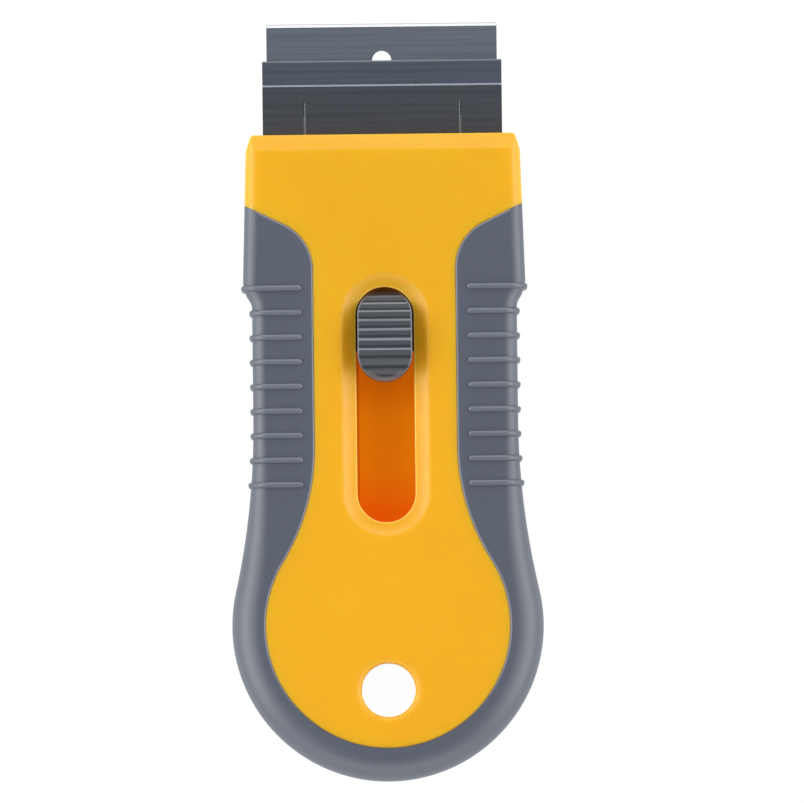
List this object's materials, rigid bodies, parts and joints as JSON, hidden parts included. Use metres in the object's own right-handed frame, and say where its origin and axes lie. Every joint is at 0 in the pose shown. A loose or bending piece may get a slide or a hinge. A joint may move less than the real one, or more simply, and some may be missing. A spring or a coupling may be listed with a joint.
{
  "type": "razor blade scraper",
  "caption": "Flat hand scraper: a two-shell handle with soft side grips and a hanging hole, and a thumb button that slides a steel carrier with a razor blade out of the mouth.",
  "frame": {"origin": "middle of the part's box, on the flat back that it lies on", "axes": "+Y towards the cutting edge, +Z out of the face with the thumb button, +X to the right of someone who looks at that face with the blade up"},
  "size_m": [0.052, 0.1266, 0.0165],
  "materials": {
    "yellow_plastic": "satin moulded ABS, fine grain",
    "grey_grip": "matt soft elastomer",
    "button_plastic": "satin moulded",
    "carrier_steel": "dark oiled spring steel",
    "blade_steel": "fine ground, bright cutting bevel",
    "blade_spine_steel": "folded strip",
    "zinc_screws": "zinc plated"
  },
  "bodies": {
    "housing": {"front_shell": "yellow_plastic", "rear_shell": "yellow_plastic", "front_grip": "grey_grip", "rear_grip": "grey_grip", "housing_screws": "zinc_screws"},
    "carrier": {"clamp_plate": "carrier_steel", "lock_tongue": "carrier_steel", "backing_plate": "carrier_steel", "left_spacer": "zinc_screws", "right_spacer": "zinc_screws", "carrier_rivets": "zinc_screws", "razor_blade": "blade_steel", "blade_spine": "blade_spine_steel"},
    "button": {"thumb_button": "button_plastic", "button_foot": "button_plastic", "button_screws": "zinc_screws"}
  },
  "joints": [
    {"name": "blade_slide", "type": "slide", "parent": "housing", "child": "carrier", "axis": [0, 1, 0], "range_m": [-0.0233, 0], "deforming": ["lock_tongue"]},
    {"name": "button_press", "type": "slide", "parent": "carrier", "child": "button", "axis": [0, 0, -1], "range_m": [0, 0.0012], "stiffness_N_per_m": 4000, "springref_m": -0.0004, "deforming": ["lock_tongue"]}
  ]
}
